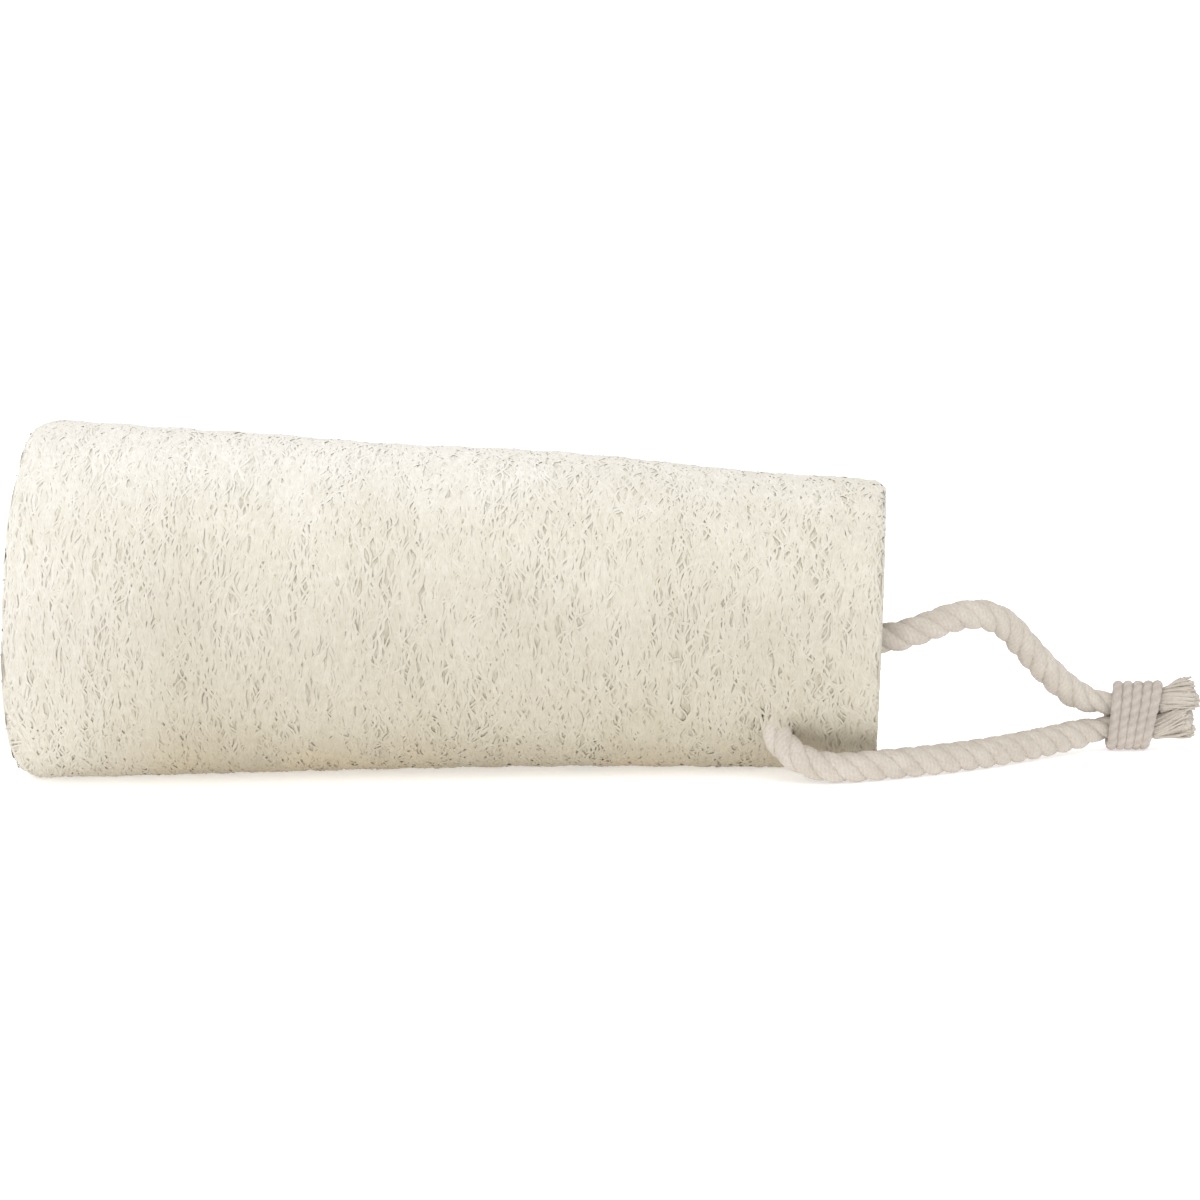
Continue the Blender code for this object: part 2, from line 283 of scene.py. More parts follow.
# The frayed tips past the binding
TUFT_LENGTH = 6.6 * MM
TUFT_START_RADIUS = 1.95 * MM
TUFT_END_RADIUS = 2.65 * MM
TUFT_YARNS = 210
TUFT_STEPS = 9
TUFT_SIDES = 5


# Small helpers

def mix(start, end, share):
    return start + (end - start) * share


def smooth_step(value):
    value = np.clip(value, 0.0, 1.0)
    return value * value * (3.0 - 2.0 * value)


def unit(vectors):
    return vectors / np.maximum(np.linalg.norm(vectors, axis=-1, keepdims=True), 1e-12)


def angles_round(sides):
    return np.arange(sides) * 2.0 * math.pi / sides


class Ripples:
    """Smooth, seeded, wandering values in space: a sum of waves of about the given length."""

    def __init__(self, seed, length, count=14):
        draw = np.random.default_rng(seed)
        way = unit(draw.normal(size=(count, 3)))
        self.wave = way * (FULL_TURN / (length * draw.uniform(0.6, 1.6, size=(count, 1))))
        self.phase = draw.uniform(0.0, FULL_TURN, size=count)
        self.scale = math.sqrt(2.0 / count)

    def __call__(self, points):
        total = np.zeros(points.shape[:-1])
        for wave, phase in zip(self.wave, self.phase):
            total += np.sin(points @ wave + phase)
        return total * self.scale


def finish_piece(obj, material, replaced=()):
    obj.data.materials.clear()
    obj.data.materials.append(material)
    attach(obj, BODY)
    for node in replaced:
        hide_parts(node)
    return obj


def mesh_object(name, points, quads, tone, ends=()):
    """A smooth mesh object from arrays of points and faces, with a tone for each point."""
    corner_lists = [quads.reshape(-1)]
    sizes = [np.full(len(quads), quads.shape[1])]
    for faces in ends:
        corner_lists.append(faces.reshape(-1))
        sizes.append(np.full(len(faces), faces.shape[1]))
    corners = np.concatenate(corner_lists).astype(np.int32)
    sizes = np.concatenate(sizes).astype(np.int32)
    starts = np.concatenate([[0], np.cumsum(sizes)[:-1]]).astype(np.int32)
    mesh = bpy.data.meshes.new(name)
    mesh.vertices.add(len(points))
    mesh.vertices.foreach_set("co", points.astype(np.float32).reshape(-1))
    mesh.loops.add(len(corners))
    mesh.loops.foreach_set("vertex_index", corners)
    mesh.polygons.add(len(sizes))
    mesh.polygons.foreach_set("loop_start", starts)
    mesh.update(calc_edges=True)
    mesh.shade_smooth()
    layer = mesh.attributes.new("tone", 'FLOAT', 'POINT')
    layer.data.foreach_set("value", tone.astype(np.float32).reshape(-1))
    obj = bpy.data.objects.new(name, mesh)
    bpy.context.scene.collection.objects.link(obj)
    return obj


def tube_arrays(centres, outward, radii, sides, section=1.0):
    """Points and faces of many closed tubes.

    centres and outward are (tubes, steps, 3), and radii is (tubes, steps). section multiplies the radius
    round the tube: one number, or an array of (tubes, steps, sides).
    """
    tubes, steps = radii.shape
    tangent = unit(np.gradient(centres, axis=1))
    side = unit(np.cross(tangent, outward))
    normal = np.cross(side, tangent)
    around = angles_round(sides)
    reach = radii[:, :, None] * section
    points = (
        centres[:, :, None, :]
        + (reach * np.cos(around))[..., None] * normal[:, :, None, :]
        + (reach * np.sin(around))[..., None] * side[:, :, None, :]
    )
    index = np.arange(tubes * steps * sides).reshape(tubes, steps, sides)
    here = index[:, :-1, :]
    ahead = index[:, 1:, :]
    quads = np.stack(
        [here, np.roll(here, -1, axis=2), np.roll(ahead, -1, axis=2), ahead], axis=-1
    ).reshape(-1, 4)
    first = index[:, 0, ::-1]
    last = index[:, -1, :]
    return points.reshape(-1, 3), quads, (first, last)


def tube_object(name, centres, outward, radii, sides, tone, section=1.0):
    """Tubes as one mesh object; tone is one value for each tube, or one for each point."""
    points, quads, ends = tube_arrays(centres, outward, radii, sides, section)
    if tone.size < len(points):
        tone = np.repeat(tone, len(points) // tone.size)
    return mesh_object(name, points, quads, tone, ends)


def fibre_arrays(centres, outward, widths):
    """Flat fibres that lie on the body, each a low ridge with its sides pressed into what is below it."""
    fibres, steps = widths.shape
    tangent = unit(np.gradient(centres, axis=1))
    side = unit(np.cross(tangent, outward))
    normal = np.cross(side, tangent)
    half = widths[..., None]
    crown = centres + normal * half * FIBRE_CROWN
    left = centres + side * half - normal * half * FIBRE_PRESSED
    right = centres - side * half - normal * half * FIBRE_PRESSED
    points = np.stack([left, crown, right], axis=2)
    index = np.arange(fibres * steps * 3).reshape(fibres, steps, 3)
    quads = np.stack(
        [index[:, :-1, :-1], index[:, 1:, :-1], index[:, 1:, 1:], index[:, :-1, 1:]], axis=-1
    ).reshape(-1, 4)
    return points.reshape(-1, 3), quads


# Materials

def node(tree, kind, **values):
    made = tree.nodes.new(kind)
    for key, value in values.items():
        setattr(made, key, value)
    return made


def new_material(name, roughness, specular):
    material = bpy.data.materials.new(name)
    material.use_nodes = True
    tree = material.node_tree
    shader = tree.nodes["Principled BSDF"]
    shader.inputs["Roughness"].default_value = roughness
    shader.inputs["Specular IOR Level"].default_value = specular
    return material, tree, shader


def noise(tree, coordinates, scale, detail=3.0, stretch=None):
    """A noise texture in the object's own space; stretch scales its three axes."""
    if stretch is not None:
        scaled = node(tree, "ShaderNodeVectorMath", operation='MULTIPLY')
        scaled.inputs[1].default_value = stretch
        tree.links.new(coordinates, scaled.inputs[0])
        coordinates = scaled.outputs[0]
    texture = node(tree, "ShaderNodeTexNoise")
    texture.inputs["Scale"].default_value = scale
    texture.inputs["Detail"].default_value = detail
    tree.links.new(coordinates, texture.inputs["Vector"])
    return texture.outputs["Fac"]


def ramp(tree, value, low, high, dark, light):
    made = node(tree, "ShaderNodeValToRGB")
    made.color_ramp.elements[0].position = low
    made.color_ramp.elements[0].color = (*dark, 1.0)
    made.color_ramp.elements[1].position = high
    made.color_ramp.elements[1].color = (*light, 1.0)
    tree.links.new(value, made.inputs["Fac"])
    return made.outputs["Color"]


def blend(tree, how, share, first, second):
    made = node(tree, "ShaderNodeMix", data_type='RGBA', blend_type=how)
    if isinstance(share, float):
        made.inputs[0].default_value = share
    else:
        tree.links.new(share, made.inputs[0])
    tree.links.new(first, made.inputs[6])
    tree.links.new(second, made.inputs[7])
    return made.outputs[2]


def bump(tree, shader, height, strength, distance):
    made = node(tree, "ShaderNodeBump")
    made.inputs["Strength"].default_value = strength
    made.inputs["Distance"].default_value = distance
    tree.links.new(height, made.inputs["Height"])
    tree.links.new(made.outputs["Normal"], shader.inputs["Normal"])


def fibre_streaks(tree, place):
    """Fine threads that hoop the body, for the mat that shows between the outer fibres."""
    fine = noise(tree, place, 1.0, 3.0, (4000.0, 700.0, 700.0))
    broad = noise(tree, place, 1.0, 2.0, (1500.0, 380.0, 380.0))
    both = node(tree, "ShaderNodeMath", operation='MULTIPLY_ADD')
    both.inputs[1].default_value = 0.6
    tree.links.new(fine, both.inputs[0])
    rest = node(tree, "ShaderNodeMath", operation='MULTIPLY')
    rest.inputs[1].default_value = 0.4
    tree.links.new(broad, rest.inputs[0])
    tree.links.new(rest.outputs[0], both.inputs[2])
    return both.outputs[0]


def share_of(tree, value, low, high, most):
    """0 at the low value, rising to most at the high value."""
    made = node(tree, "ShaderNodeMapRange")
    made.inputs["From Min"].default_value = low
    made.inputs["From Max"].default_value = high
    made.inputs["To Min"].default_value = 0.0
    made.inputs["To Max"].default_value = most
    tree.links.new(value, made.inputs["Value"])
    return made.outputs["Result"]


def loofah_colour_and_painted_shading(tree, place):
    """Cream fibre, a little patchy: tanner and darker underneath and paler on the back, partly its own
    tint and partly painted shade and painted light; paler towards the cut ends, which is painted light.
    """
    apart = node(tree, "ShaderNodeSeparateXYZ")
    tree.links.new(place, apart.inputs[0])
    drifting = node(tree, "ShaderNodeMath", operation='MULTIPLY_ADD')
    drifting.inputs[1].default_value = LOOFAH_COLOUR_DRIFT
    tree.links.new(noise(tree, place, LOOFAH_PATCHES), drifting.inputs[0])
    tree.links.new(apart.outputs["Z"], drifting.inputs[2])
    # Colour by height: partly the fibre's own tint, partly painted shade underneath and painted light on
    # its back
    colour_and_painted_shading_by_height = node(tree, "ShaderNodeValToRGB")
    stops = colour_and_painted_shading_by_height.color_ramp.elements
    while len(stops) < len(LOOFAH_COLOURS_AND_PAINTED_SHADING):
        stops.new(0.5)
    for stop, (position, colour) in zip(stops, LOOFAH_COLOURS_AND_PAINTED_SHADING):
        stop.position = position
        stop.color = (*colour, 1.0)
    ground = 0.5 * LOOFAH_COLOUR_DRIFT
    height = share_of(tree, drifting.outputs[0], ground, ground + LOOFAH_HEIGHT, 1.0)
    tree.links.new(height, colour_and_painted_shading_by_height.inputs["Fac"])
    # Painted light: near both cut ends the colour is blended towards a paler one
    pale = node(tree, "ShaderNodeRGB")
    pale.outputs[0].default_value = (*LOOFAH_END_PAINTED_LIGHT, 1.0)
    colour = colour_and_painted_shading_by_height.outputs["Color"]
    for low, high, most in LOOFAH_END_PAINTED_LIGHT_BLENDS:
        painted_light_near_end = share_of(tree, apart.outputs["X"], low, high, most)
        colour = blend(tree, 'MIX', painted_light_near_end, colour, pale.outputs[0])
    return colour


def loofah_material(name, streaked=False):
    """Dry cream fibre, each fibre a little lighter or darker than the next."""
    material, tree, shader = new_material(name, 0.9, 0.2)
    place = node(tree, "ShaderNodeTexCoord").outputs["Object"]
    specks = ramp(tree, noise(tree, place, 900.0, 2.0), 0.3, 0.7, (0.93, 0.92, 0.90), (1.0, 1.0, 1.0))
    colour = blend(tree, 'MULTIPLY', 1.0, loofah_colour_and_painted_shading(tree, place), specks)
    tone = node(tree, "ShaderNodeAttribute", attribute_name="tone").outputs["Fac"]
    fibre = ramp(tree, tone, 0.0, 1.0, (0.94, 0.93, 0.905), (1.0, 1.0, 1.0))
    colour = blend(tree, 'MULTIPLY', 1.0, colour, fibre)
    if streaked:
        streaks = fibre_streaks(tree, place)
        threads = ramp(tree, streaks, 0.42, 0.56, (0.80, 0.78, 0.73), (1.0, 1.0, 1.0))
        colour = blend(tree, 'MULTIPLY', 1.0, colour, threads)
        bump(tree, shader, streaks, 0.9, 0.0004)
    else:
        bump(tree, shader, noise(tree, place, 2600.0, 2.0), 0.2, 0.0001)
    tree.links.new(colour, shader.inputs["Base Color"])
    return material


def cotton_material(name, light, shade):
    """Undyed cotton: soft, matt, faintly mottled, with fine lint in its bump and painted shade in its
    grooves.
    """
    material, tree, shader = new_material(name, 0.9, 0.15)
    shader.inputs["Sheen Weight"].default_value = 0.15
    shader.inputs["Sheen Roughness"].default_value = 0.6
    place = node(tree, "ShaderNodeTexCoord").outputs["Object"]
    mottled = ramp(tree, noise(tree, place, 260.0), 0.3, 0.7, shade, light)
    lint = ramp(tree, noise(tree, place, 2400.0, 2.0), 0.3, 0.7, (0.88, 0.86, 0.84), (1.0, 1.0, 1.0))
    colour = blend(tree, 'MULTIPLY', 1.0, mottled, lint)
    tone = node(tree, "ShaderNodeAttribute", attribute_name="tone").outputs["Fac"]
    # Painted shade: the tone darkens the colour in the grooves between yarns and plies
    painted_groove_shade = ramp(tree, tone, 0.0, 1.0, (0.80, 0.775, 0.74), (1.0, 1.0, 1.0))
    colour = blend(tree, 'MULTIPLY', 1.0, colour, painted_groove_shade)
    tree.links.new(colour, shader.inputs["Base Color"])
    bump(tree, shader, noise(tree, place, 3200.0, 3.0), 0.45, 0.00015)
    return material


def floor_material():
    """A pale sheet lit from underneath, which leaves hardly any shadow on it."""
    material, tree, shader = new_material("floor_sheet", 0.6, 0.1)
    place = node(tree, "ShaderNodeTexCoord").outputs["Object"]
    colour = ramp(tree, noise(tree, place, 3.0), 0.0, 1.0, (0.90, 0.90, 0.90), (0.92, 0.92, 0.92))
    tree.links.new(colour, shader.inputs["Base Color"])
    shader.inputs["Emission Color"].default_value = (1.0, 1.0, 1.0, 1.0)
    shader.inputs["Emission Strength"].default_value = FLOOR_GLOW
    return material


# Camera, light and floor

def add_camera():
    back = Vector((
        math.sin(CAMERA_AZIMUTH) * math.cos(CAMERA_ELEVATION),
        -math.cos(CAMERA_AZIMUTH) * math.cos(CAMERA_ELEVATION),
        math.sin(CAMERA_ELEVATION),
    ))
    level = Vector((math.cos(CAMERA_AZIMUTH), math.sin(CAMERA_AZIMUTH), 0.0))
    upright = back.cross(level)
    right = level * math.cos(CAMERA_ROLL) + upright * math.sin(CAMERA_ROLL)
    up = back.cross(right)
    data = bpy.data.cameras.new("camera")
    data.sensor_width = SENSOR_WIDTH
    data.lens = SENSOR_WIDTH * CAMERA_DISTANCE / FRAME_WIDTH
    data.clip_start = 0.05
    data.clip_end = 200.0
    camera = bpy.data.objects.new("camera", data)
    turn = Matrix((right, up, back)).transposed().to_4x4()
    camera.matrix_world = Matrix.Translation(CAMERA_TARGET + back * CAMERA_DISTANCE) @ turn
    bpy.context.scene.collection.objects.link(camera)
    bpy.context.scene.camera = camera


def add_light_and_floor():
    world = bpy.data.worlds.new("studio")
    world.use_nodes = True
    sky = world.node_tree.nodes["Background"]
    sky.inputs["Color"].default_value = (1.0, 1.0, 1.0, 1.0)
    sky.inputs["Strength"].default_value = SKY_STRENGTH
    bpy.context.scene.world = world
    for lamp in LAMPS:
        data = bpy.data.lights.new(lamp.name, 'SUN')
        data.energy = lamp.strength
        data.angle = math.radians(lamp.softness)
        light = bpy.data.objects.new(lamp.name, data)
        light.rotation_euler = (math.radians(lamp.turn_x), math.radians(lamp.turn_y), 0.0)
        bpy.context.scene.collection.objects.link(light)
    bpy.ops.mesh.primitive_plane_add(size=FLOOR_SIZE)
    floor = bpy.context.object
    floor.name = "floor"
    floor.data.materials.append(floor_material())
    bpy.context.scene.view_settings.view_transform = 'Standard'


# Rope

def smooth_route(points, spacing):
    """Evenly spaced points on the smooth curve through the given ones, in metres."""
    given = np.array(points) * MM
    ends = np.vstack([2.0 * given[0] - given[1], given, 2.0 * given[-1] - given[-2]])
    share = np.linspace(0.0, 1.0, 24, endpoint=False)[:, None]
    fine = []
    for i in range(1, len(ends) - 2):
        before, start, end, after = ends[i - 1], ends[i], ends[i + 1], ends[i + 2]
        fine.append(0.5 * (
            2.0 * start
            + (end - before) * share
            + (2.0 * before - 5.0 * start + 4.0 * end - after) * share ** 2
            + (3.0 * start - before - 3.0 * end + after) * share ** 3
        ))
    fine = np.vstack(fine + [given[-1:]])
    travelled = np.concatenate([[0.0], np.cumsum(np.linalg.norm(np.diff(fine, axis=0), axis=1))])
    wanted = np.linspace(0.0, travelled[-1], int(travelled[-1] / spacing) + 1)
    return np.stack([np.interp(wanted, travelled, fine[:, axis]) for axis in range(3)], axis=1)


def directions_across(path):
    """Two directions across a path at each point, carried along it without twist."""
    tangent = unit(np.gradient(path, axis=0))
    across = np.zeros_like(path)
    current = unit(np.cross(tangent[0], np.array([0.0, 1.0, 0.0])))
    for i, way in enumerate(tangent):
        current = unit(current - way * (current @ way))
        across[i] = current
    return across, np.cross(tangent, across)


def rope_fullness(path):
    """The rope's thickness as a share of its own: squeezed inside the binding, full beyond it."""
    from_binding = (
        np.abs(path[:, 0] - BINDING_CENTRE.x) - 0.5 * BINDING_LENGTH - ROPE_SQUEEZED_BESIDE_BINDING
    )
    full = np.where(path[:, 0] > BINDING_CENTRE.x, ROPE_TAIL_FULLNESS, 1.0)
    return mix(ROPE_SQUEEZE, full, smooth_step(from_binding / ROPE_RELAXING_LENGTH))


def rope_strands(path):
    """The strands' middle lines, the directions that point out of the rope, and their radii."""
    travelled = np.arange(len(path)) * ROPE_STEP
    first, second = directions_across(path)
    radius = 0.5 * ROPE_DIAMETER * rope_fullness(path)
    centres, outward, radii = [], [], []
    for strand in range(STRANDS):
        angle = 2.0 * math.pi * (travelled / ROPE_LAY + strand / STRANDS)
        out = np.cos(angle)[:, None] * first + np.sin(angle)[:, None] * second
        centres.append(path + out * (STRAND_OFFSET * radius)[:, None])
        outward.append(out)
        radii.append(STRAND_DEPTH * radius)
    return np.array(centres), np.array(outward), np.array(radii)


def yarn_crowns(around, steps):
    """1 on each yarn's crown and 0 in the groove beside it; the yarns twist against the strands."""
    travelled = np.arange(steps) * ROPE_STEP * YARN_SLANT
    turn = around[None, None, :] + travelled[None, :, None] / (0.5 * ROPE_DIAMETER * STRAND_DEPTH)
    return np.abs(np.sin(0.5 * YARNS * turn)) ** YARN_BLUNTNESS


def widened(around, widening):
    """A round section made wider across the rope or the binding than it is deep."""
    return 1.0 / np.hypot(np.cos(around), np.sin(around) / widening)


def build_rope(material):
    """The rope as two pieces that meet inside the body, each with its middle line and its exit."""
    path = smooth_route(UPPER_STRAND + LOWER_STRAND, ROPE_STEP)
    centres, outward, radii = rope_strands(path)
    around = angles_round(STRAND_SIDES)
    crowns = yarn_crowns(around, len(path))
    section = widened(around, STRAND_WIDENING) * mix(1.0 - YARN_DEPTH, 1.0, crowns)
    inner = np.array(UPPER_STRAND[-1]) * MM
    joint = int(np.argmin(np.linalg.norm(path - inner, axis=1)))
    halves = (
        ("rope_upper", slice(0, joint + 1), CHANNEL_MOUTH),
        ("rope_lower", slice(joint, len(path)), SIDE_HOLE),
    )
    made = []
    for name, part, leaves_at in halves:
        # The tone is painted shade, darkest in the grooves between the yarns
        tone = np.tile(mix(0.25, 1.0, crowns[:, part]), (STRANDS, 1, 1)).reshape(-1)
        obj = tube_object(
            name, centres[:, part], outward[:, part], radii[:, part], STRAND_SIDES, tone,
            section[:, part],
        )
        finish_piece(obj, material, ("rope",))
        line = path[part]
        if name == "rope_upper":
            line = line[::-1]
        made.append((obj, line, leaves_at))
    return made, path


def build_tufts(material, path):
    """The frayed tips: from the binding on, the yarns of both rope ends open out into one short brush."""
    draw = np.random.default_rng(71)
    t = np.linspace(0.0, 1.0, TUFT_STEPS)
    lines, aways = [], []
    first, second = directions_across(path)
    for end, way in ((0, 1), (len(path) - 1, -1)):
        begin = end + way * int(TUFT_LENGTH / ROPE_STEP)
        middle = mix(path[begin], path[end], t[:, None])
        tip = unit(path[end] - path[end + 3 * way])
        spread = draw.uniform(0.0, FULL_TURN, TUFT_YARNS)
        reach = np.sqrt(draw.uniform(0.25, 1.0, TUFT_YARNS))
        length = draw.uniform(-0.7, 0.45, TUFT_YARNS) * MM
        turn = spread[:, None] - 0.9 * t[None, :]
        grown = mix(TUFT_START_RADIUS, TUFT_END_RADIUS, smooth_step(t))[None, :] * reach[:, None]
        curl = draw.normal(size=(TUFT_YARNS, 1, 3)) * 0.22 * MM * (t ** 2)[None, :, None]
        out = np.cos(turn)[..., None] * first[end] + np.sin(turn)[..., None] * second[end]
        lines.append(middle + grown[..., None] * out + curl + tip * (length[:, None] * t)[..., None])
        aways.append(out)
    yarns = 2 * TUFT_YARNS
    widths = mix(0.30, draw.uniform(0.16, 0.24, (yarns, 1)), t[None, :]) * MM
    tones = draw.uniform(0.55, 1.0, yarns)
    obj = tube_object(
        "frayed_tips", np.concatenate(lines), np.concatenate(aways), widths, TUFT_SIDES, tones,
    )
    return finish_piece(obj, material)


# Binding

def on_arc(angle, radius, height):
    """A point of a half circle round the given height, and the way out from there."""
    out = (math.cos(angle), math.sin(angle))
    return (radius * out[0], height + radius * out[1]), out


def racetrack(turn, half_height, radius):
    """A point round an upright track, two half circles joined by straight runs, and the way out."""
    arc = math.pi * radius
    run = 2.0 * half_height
    way = (turn % 1.0) * 2.0 * (arc + run)
    if way < run:
        return (-radius, -half_height + way), (-1.0, 0.0)
    way -= run
    if way < arc:
        return on_arc(math.pi - way / radius, radius, half_height)
    way -= arc
    if way < run:
        return (radius, half_height - way), (1.0, 0.0)
    way -= run
    return on_arc(-way / radius, radius, -half_height)


def wound_twine(count):
    """The twine's middle line round both rope ends and the ways out, evenly along its turns."""
    radius = 0.5 * ROPE_DIAMETER * ROPE_SQUEEZE + BINDING_OVER_ROPE + 0.5 * TWINE_DIAMETER
    half_height = 0.5 * ROPE_ENDS_APART
    knots = BINDING_TURNS + 3
    uneven = np.random.default_rng(5).normal(size=knots) * BINDING_UNEVEN
    centres, outward = [], []
    for i in range(count):
        turn = 0.5 + i * BINDING_TURNS / (count - 1)
        (y, z), (out_y, out_z) = racetrack(turn, half_height, radius)
        height_share = z / (half_height + radius)
        along = (turn - BINDING_MIDDLE_TURN) * BINDING_PITCH + np.interp(turn, np.arange(knots), uneven)
        along = along * (1.0 + BINDING_FAN * height_share) + BINDING_LEAN * height_share
        centres.append((BINDING_CENTRE.x + along, BINDING_CENTRE.y + y, BINDING_CENTRE.z + z))
        outward.append((0.0, out_y, out_z))
    return np.array(centres)[None], np.array(outward)[None]


def twine_plies(around, travelled):
    """The swell of the two plies and their yarns, round the twine and along it."""
    turn = around[None, None, :] - (2.0 * math.pi * travelled / TWINE_PLY_PITCH)[None, :, None]
    return TWINE_FULLNESS + 0.05 * np.cos(2.0 * turn) + 0.02 * np.cos(10.0 * turn)


def build_binding(material):
    """Twine wound round both rope ends: one helix of two-ply twine, its ends tucked in."""
    radius = 0.5 * ROPE_DIAMETER * ROPE_SQUEEZE + BINDING_OVER_ROPE + 0.5 * TWINE_DIAMETER
    length_of_turn = 2.0 * math.pi * radius + 2.0 * ROPE_ENDS_APART
    count = int(BINDING_TURNS * length_of_turn / BINDING_STEP)
    centres, outward = wound_twine(count)
    tuck = np.minimum(np.arange(count), np.arange(count)[::-1]) * BINDING_STEP / TWINE_TUCK_LENGTH
    sunk = (1.0 - smooth_step(tuck)) * TWINE_TUCK_DEPTH
    centres -= outward * sunk[None, :, None]
    radii = np.full((1, count), 0.5 * TWINE_DIAMETER)
    around = angles_round(TWINE_SIDES)
    plies = twine_plies(around, np.arange(count) * BINDING_STEP)
    # The tone is painted shade, darkest in the grooves between the plies
    tone = np.clip(0.7 + 6.0 * (plies - TWINE_FULLNESS), 0.2, 1.0).reshape(-1)
    section = plies * widened(around, TWINE_WIDENING)
    obj = tube_object("binding_twine", centres, outward, radii, TWINE_SIDES, tone, section)
    return finish_piece(obj, material, ("binding",))


# The loofah's surface, read from the frame

def share_along(x):
    return (x - LARGE_END_X) / (SMALL_END_X - LARGE_END_X)


def axis_height(x):
    return mix(LARGE_END_AXIS_HEIGHT, SMALL_END_AXIS_HEIGHT, share_along(x))


def lean_at(x):
    return mix(LARGE_END_LEAN, SMALL_END_LEAN, share_along(x))


def axis_point(x):
    return np.stack([x, np.zeros_like(x), axis_height(x)], axis=-1)


def outward_way(x, angle):
    """Away from the axis at a place; 0 is the front and a quarter turn the top."""
    return np.stack([lean_at(x) * np.sin(angle), -np.cos(angle), np.sin(angle)], axis=-1)


class BodySurface:
    """The solid's outside as a smooth map of radius, by place along and angle around."""

    def __init__(self, solid):
        self.along = np.linspace(LARGE_END_X + MAP_FROM_END, SMALL_END_X - MAP_FROM_END, MAP_ALONG)
        self.around = np.arange(MAP_AROUND) * 2.0 * math.pi / MAP_AROUND
        radius = self.measured(solid.data)
        for row in radius:
            self.bridge(row)
        smooth = (
            radius
            + np.roll(radius, 1, axis=1) + np.roll(radius, -1, axis=1)
            + np.vstack([radius[1:], radius[-1:]]) + np.vstack([radius[:1], radius[:-1]])
        ) / 5.0
        self.lift = self.evened(smooth) - smooth
        self.radius = smooth + self.lift

    def measured(self, mesh):
        """The radius of the solid at every place of the map."""
        tree = BVHTree.FromPolygons([v.co for v in mesh.vertices], [p.vertices for p in mesh.polygons])
        radius = np.zeros((MAP_ALONG, MAP_AROUND))
        for i, x in enumerate(self.along):
            middle = Vector((x, 0.0, axis_height(x)))
            for j, angle in enumerate(self.around):
                way = Vector(outward_way(np.array(x), np.array(angle)))
                length = way.length
                hit = tree.ray_cast(middle + way * RAY_START_RADIUS, -way)[0]
                radius[i, j] = (hit - middle).length / length if hit else RADIUS_WITHOUT_HIT
        return radius

    def evened(self, radius):
        """The map with most of its net evened out at its crests, but for the rims of the ends."""
        reach = 3 * RELIEF_SPREAD
        inner = radius[RIM_ROWS:-RIM_ROWS]
        padded = np.pad(inner, ((RIM_ROWS + reach, RIM_ROWS + reach), (0, 0)), mode='edge')
        padded = np.pad(padded, ((0, 0), (reach, reach)), mode='wrap')
        kernel = np.exp(-0.5 * (np.arange(-reach, reach + 1) / RELIEF_SPREAD) ** 2)
        kernel /= kernel.sum()
        for axis in (0, 1):
            padded = np.apply_along_axis(np.convolve, axis, padded, kernel, 'valid')
        from_end = np.minimum(self.along - self.along[0], self.along[-1] - self.along)
        share = RELIEF_EVENED * smooth_step((from_end - RIM_KEPT) / RIM_BLEND)
        return mix(radius, padded + RELIEF_LIFT, share[:, None])

    def bridge(self, row):
        """Bridges the side hole in one ring of the map."""
        open_here = row < np.median(row) - HOLE_DEPTH
        open_here |= np.roll(open_here, 1) | np.roll(open_here, -1)
        if open_here.any():
            kept = ~open_here
            row[open_here] = np.interp(
                self.around[open_here], self.around[kept], row[kept], period=FULL_TURN,
            )

    def at(self, x, angle):
        """The radius of the outside."""
        return self.read(self.radius, x, angle)

    def read(self, table, x, angle):
        """A value of a map of the outside, by straight interpolation."""
        i = np.clip((x - self.along[0]) / (self.along[1] - self.along[0]), 0, MAP_ALONG - 1.001)
        j = (angle % FULL_TURN) / FULL_TURN * MAP_AROUND
        i0, j0 = i.astype(int), j.astype(int)
        di, dj = i - i0, j - j0
        j0 = j0 % MAP_AROUND
        j1 = (j0 + 1) % MAP_AROUND
        low = table[i0, j0] * (1 - dj) + table[i0, j1] * dj
        high = table[i0 + 1, j0] * (1 - dj) + table[i0 + 1, j1] * dj
        return low * (1 - di) + high * di

    def place(self, x, angle, proud):
        """A point on the outside, raised by proud, and the way out from there."""
        way = outward_way(x, angle)
        point = axis_point(x) + way * (self.at(x, angle) + proud)[..., None]
        return point, unit(way)


def body_places(points):
    """Place along, angle around and radius of points of the body."""
    x = points[:, 0].copy()
    for _ in range(2):
        up = points[:, 2] - axis_height(x)
        x = points[:, 0] - lean_at(x) * up
    up = points[:, 2] - axis_height(x)
    return x, np.arctan2(up, -points[:, 1]), np.hypot(up, points[:, 1])


# The felted base

def made_finer(solid, name):
    """A copy of the solid with small even faces."""
    mesh = solid.data.copy()
    obj = bpy.data.objects.new(name, mesh)
    bpy.context.scene.collection.objects.link(obj)
    shape = bmesh.new()
    shape.from_mesh(mesh)
    bmesh.ops.remove_doubles(shape, verts=shape.verts, dist=BASE_MERGE)
    shape.to_mesh(mesh)
    shape.free()
    remesh = obj.modifiers.new("Felt", 'REMESH')
    remesh.mode = 'VOXEL'
    remesh.voxel_size = BASE_VOXEL
    remesh.use_smooth_shade = True
    bpy.context.view_layer.update()
    fine = bpy.data.meshes.new_from_object(obj.evaluated_get(bpy.context.evaluated_depsgraph_get()))
    obj.modifiers.clear()
    obj.data = fine
    return obj


def read_vertices(mesh, field):
    values = np.zeros(len(mesh.vertices) * 3, np.float32)
    mesh.vertices.foreach_get(field, values)
    return values.reshape(-1, 3).astype(float)


